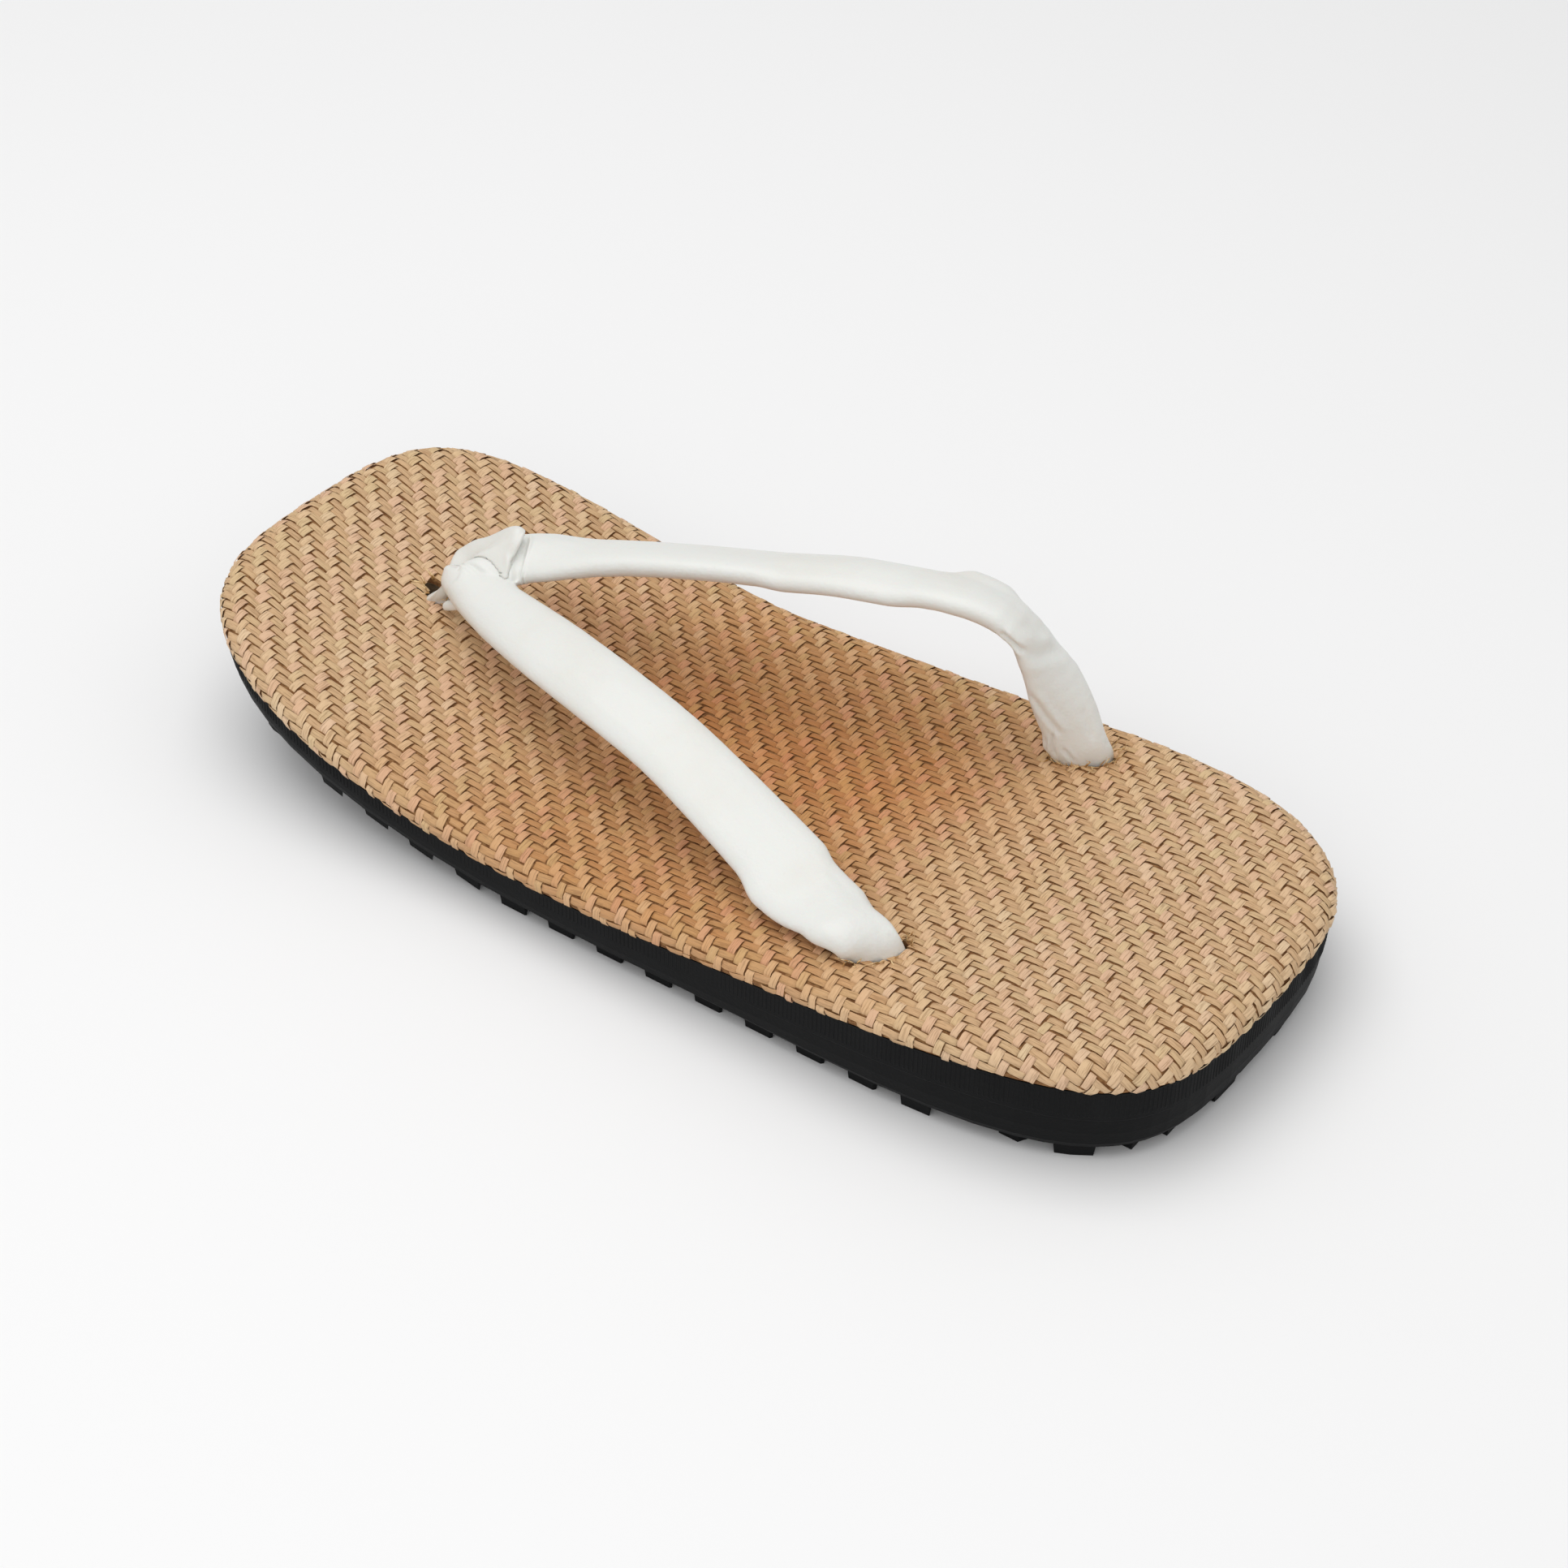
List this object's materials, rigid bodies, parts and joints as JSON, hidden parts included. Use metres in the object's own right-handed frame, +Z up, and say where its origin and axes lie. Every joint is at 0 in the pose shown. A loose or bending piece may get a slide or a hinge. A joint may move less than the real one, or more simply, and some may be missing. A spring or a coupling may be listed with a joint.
{
  "type": "straw-top thong sandal",
  "caption": "Flat thong sandal with a woven straw-look mat top, a padded V strap that passes through the toe and side holes, and a thick studded rubber sole with toe spring",
  "frame": {"origin": "middle of the object's box, on the floor under the studs", "axes": "+X across the sandal, +Y from toe to heel, +Z up"},
  "size_m": [0.1154, 0.26, 0.0632],
  "materials": {
    "sole_rubber": "satin black moulded rubber with studs and ribs beneath and a finely ribbed side band",
    "board": "pressed fibre board, not seen once covered",
    "woven_mat": "twill-woven flat strips, honey tan with darker gaps, matte",
    "strap_leather": "smooth white soft leather over padding, low sheen"
  },
  "bodies": {
    "root": {"outsole": "sole_rubber", "insole_board": "board", "mat_cover": "woven_mat", "strap": "strap_leather", "toe_loop": "strap_leather"}
  },
  "joints": []
}
